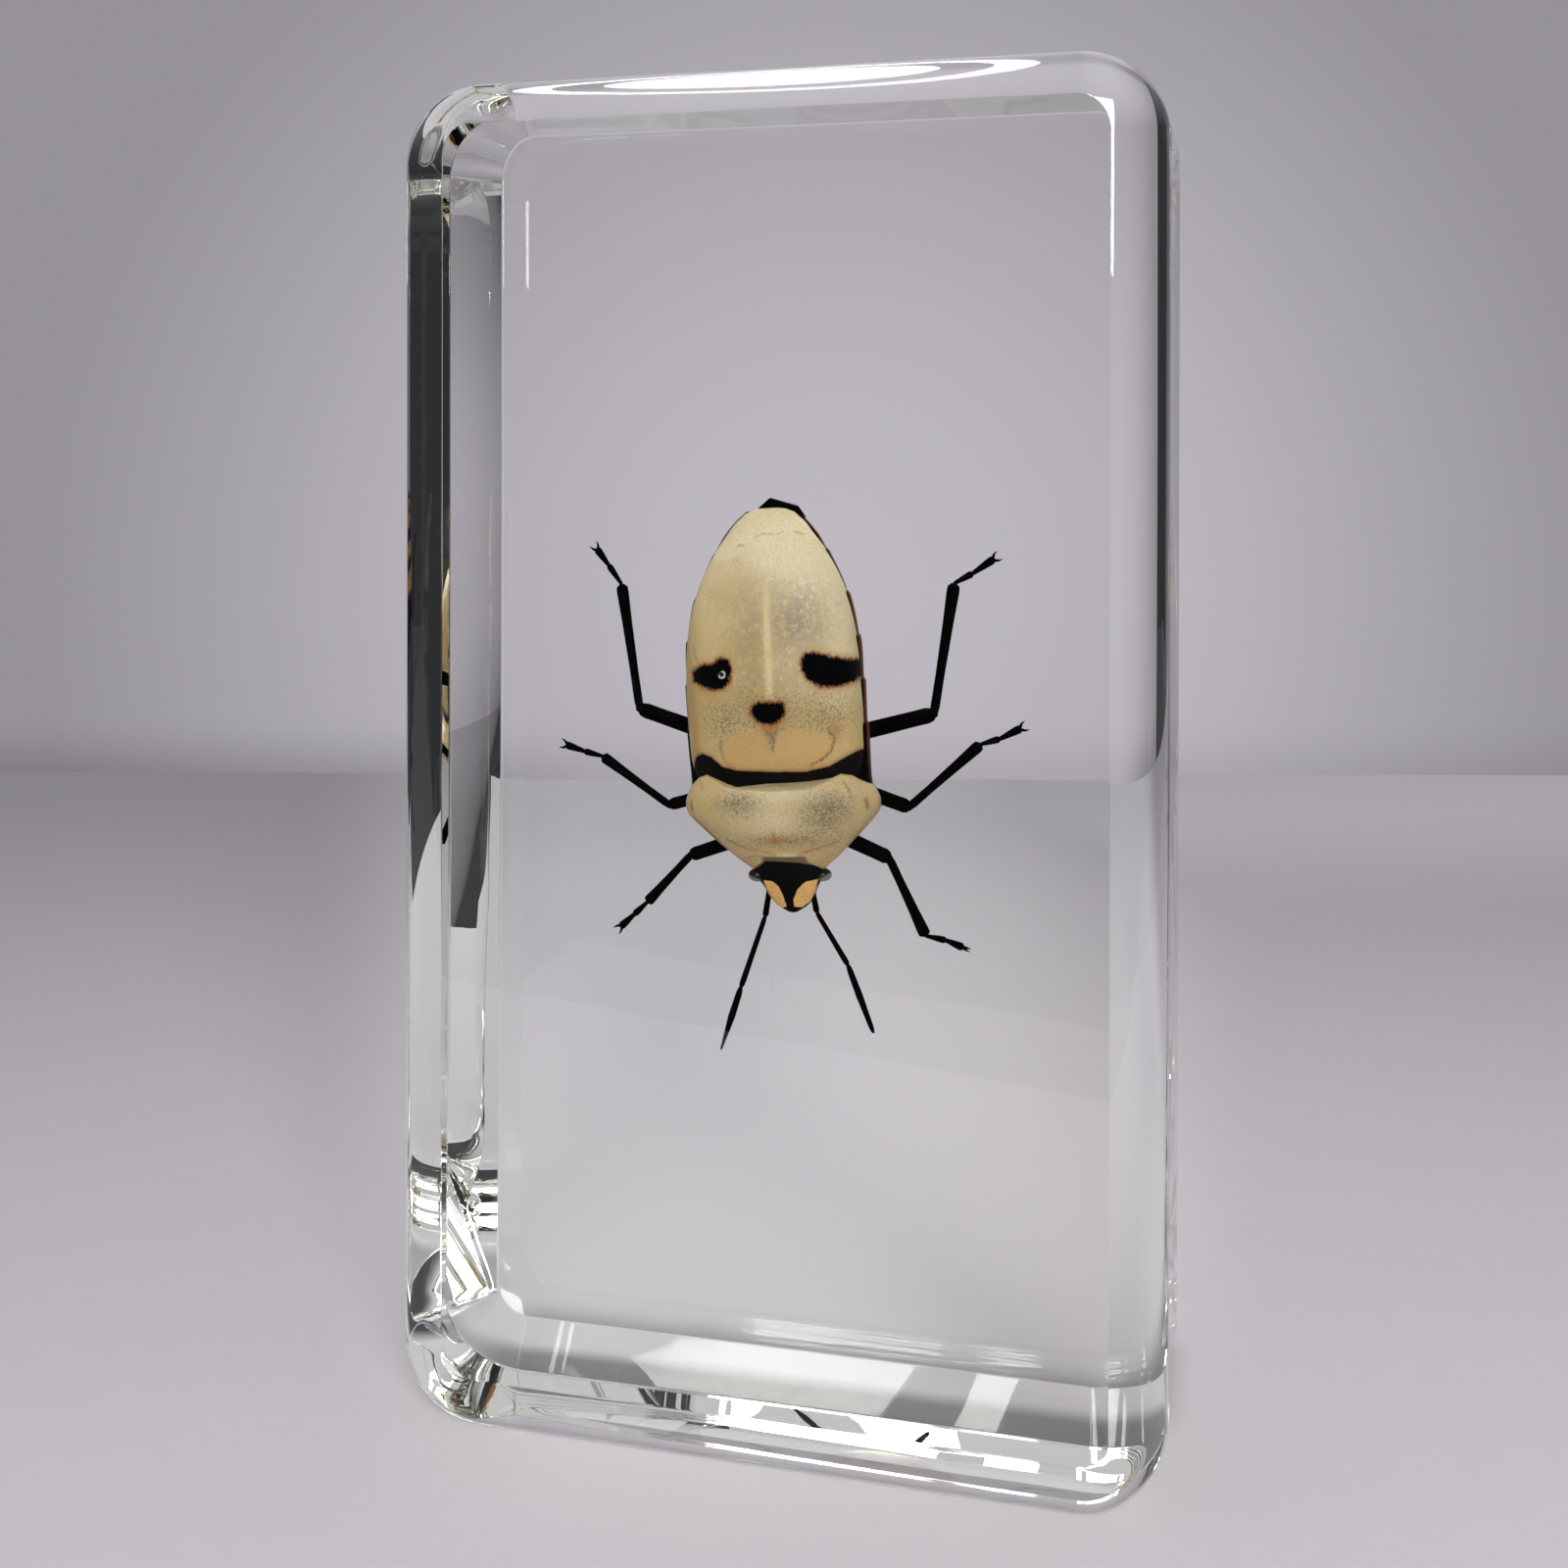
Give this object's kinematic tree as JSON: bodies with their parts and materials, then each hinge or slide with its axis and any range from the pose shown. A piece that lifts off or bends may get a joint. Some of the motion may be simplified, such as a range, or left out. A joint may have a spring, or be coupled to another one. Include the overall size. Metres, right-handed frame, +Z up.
{
  "type": "insect in resin block",
  "caption": "Clear resin block, rounded at its front edges, bevelled at its back edges and standing on its short end, with a pale shield bug with dark markings sealed inside.",
  "frame": {"origin": "middle of the block's base, on the surface that it stands on", "axes": "+Z up along the block's long side, +X along its width, -Y out of the front face, which shows the insect's back"},
  "size_m": [0.041, 0.015, 0.073],
  "materials": {
    "clear_resin": "clear cast resin, polished, with rounded front edges and bevelled back edges",
    "insect_shell": "dry cream shell with black markings and black legs, satin"
  },
  "bodies": {
    "root": {"resin_front": "clear_resin", "resin_back": "clear_resin", "insect": "insect_shell"}
  },
  "joints": []
}
